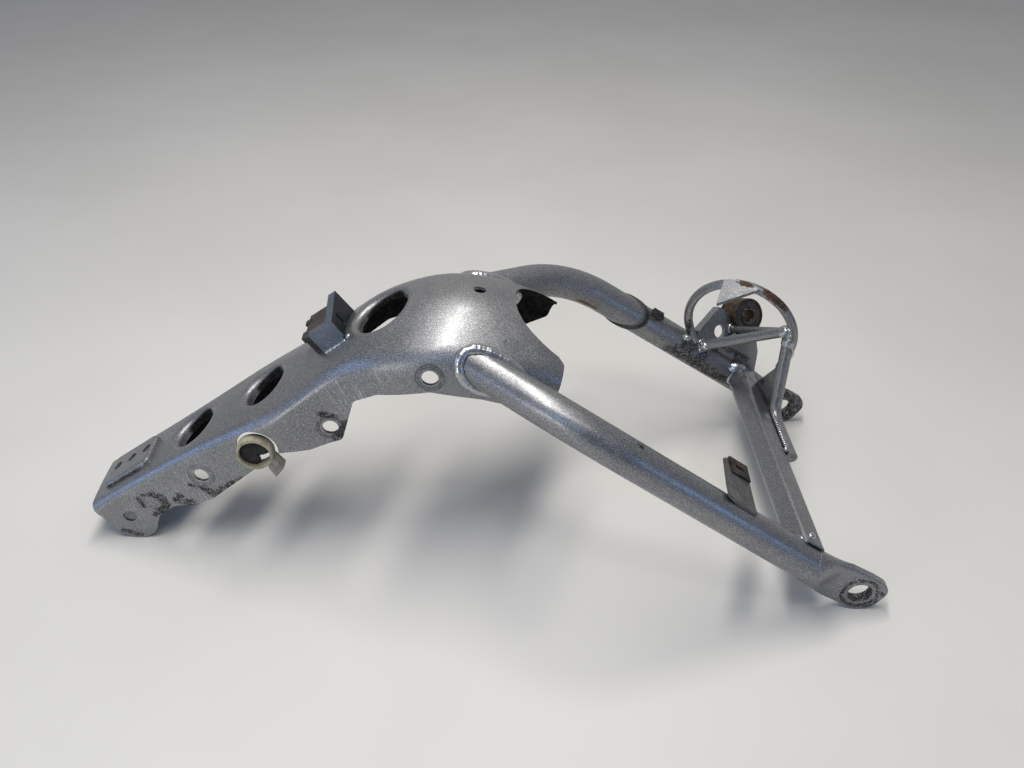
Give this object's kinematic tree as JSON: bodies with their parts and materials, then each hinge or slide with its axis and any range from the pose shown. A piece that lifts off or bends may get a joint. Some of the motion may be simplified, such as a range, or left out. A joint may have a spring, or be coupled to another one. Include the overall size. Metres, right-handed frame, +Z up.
{
  "type": "engine subframe",
  "caption": "Motorbike engine subframe: a pressed channel shell with rolled-in lightening holes, splayed tubes with flattened ends, a cross tube, a stand bracket with a bush and a ring guard.",
  "frame": {"origin": "on the axis of the front bore, midway between the two walls of the shell", "axes": "+X from the front bore back towards the flattened tube ends; +Y along the front bore towards the side with the stand bracket and ring; +Z up as the part rests on a flat floor"},
  "size_m": [0.6425, 0.2929, 0.2236],
  "materials": {
    "frame_paint": "worn metallic silver paint",
    "bush_rubber": "matt, dusty",
    "bush_sleeve": "dull with light rust",
    "dark_bracket": "worn dark grey",
    "clip_nut_steel": "dark brown oxide",
    "strap_black": "matt",
    "hose_clip_plastic": "aged ivory",
    "latch_plastic": "aged grey",
    "top_bracket_paint": "worn blue grey",
    "connector_black": "matt, dusty"
  },
  "bodies": {
    "root": {"front_shell": "frame_paint", "right_tube": "frame_paint", "left_tube": "frame_paint", "cross_tube": "frame_paint", "ring_guard": "frame_paint", "strut_rod": "frame_paint", "ring_brace": "frame_paint", "gusset_web": "frame_paint", "stand_plate": "frame_paint", "arm_boss": "frame_paint", "arm_rod": "frame_paint", "stand_lower_plate": "frame_paint", "stand_top_plate": "frame_paint", "bush_shell": "frame_paint", "bush_rubber": "bush_rubber", "bush_sleeve": "bush_sleeve", "tab_bracket": "dark_bracket", "clip_nut": "clip_nut_steel", "strap_band": "strap_black", "strap_head": "strap_black", "hose_clip": "hose_clip_plastic", "hose_clip_latch": "latch_plastic", "top_bracket": "top_bracket_paint", "connector_clip": "connector_black"}
  },
  "joints": []
}
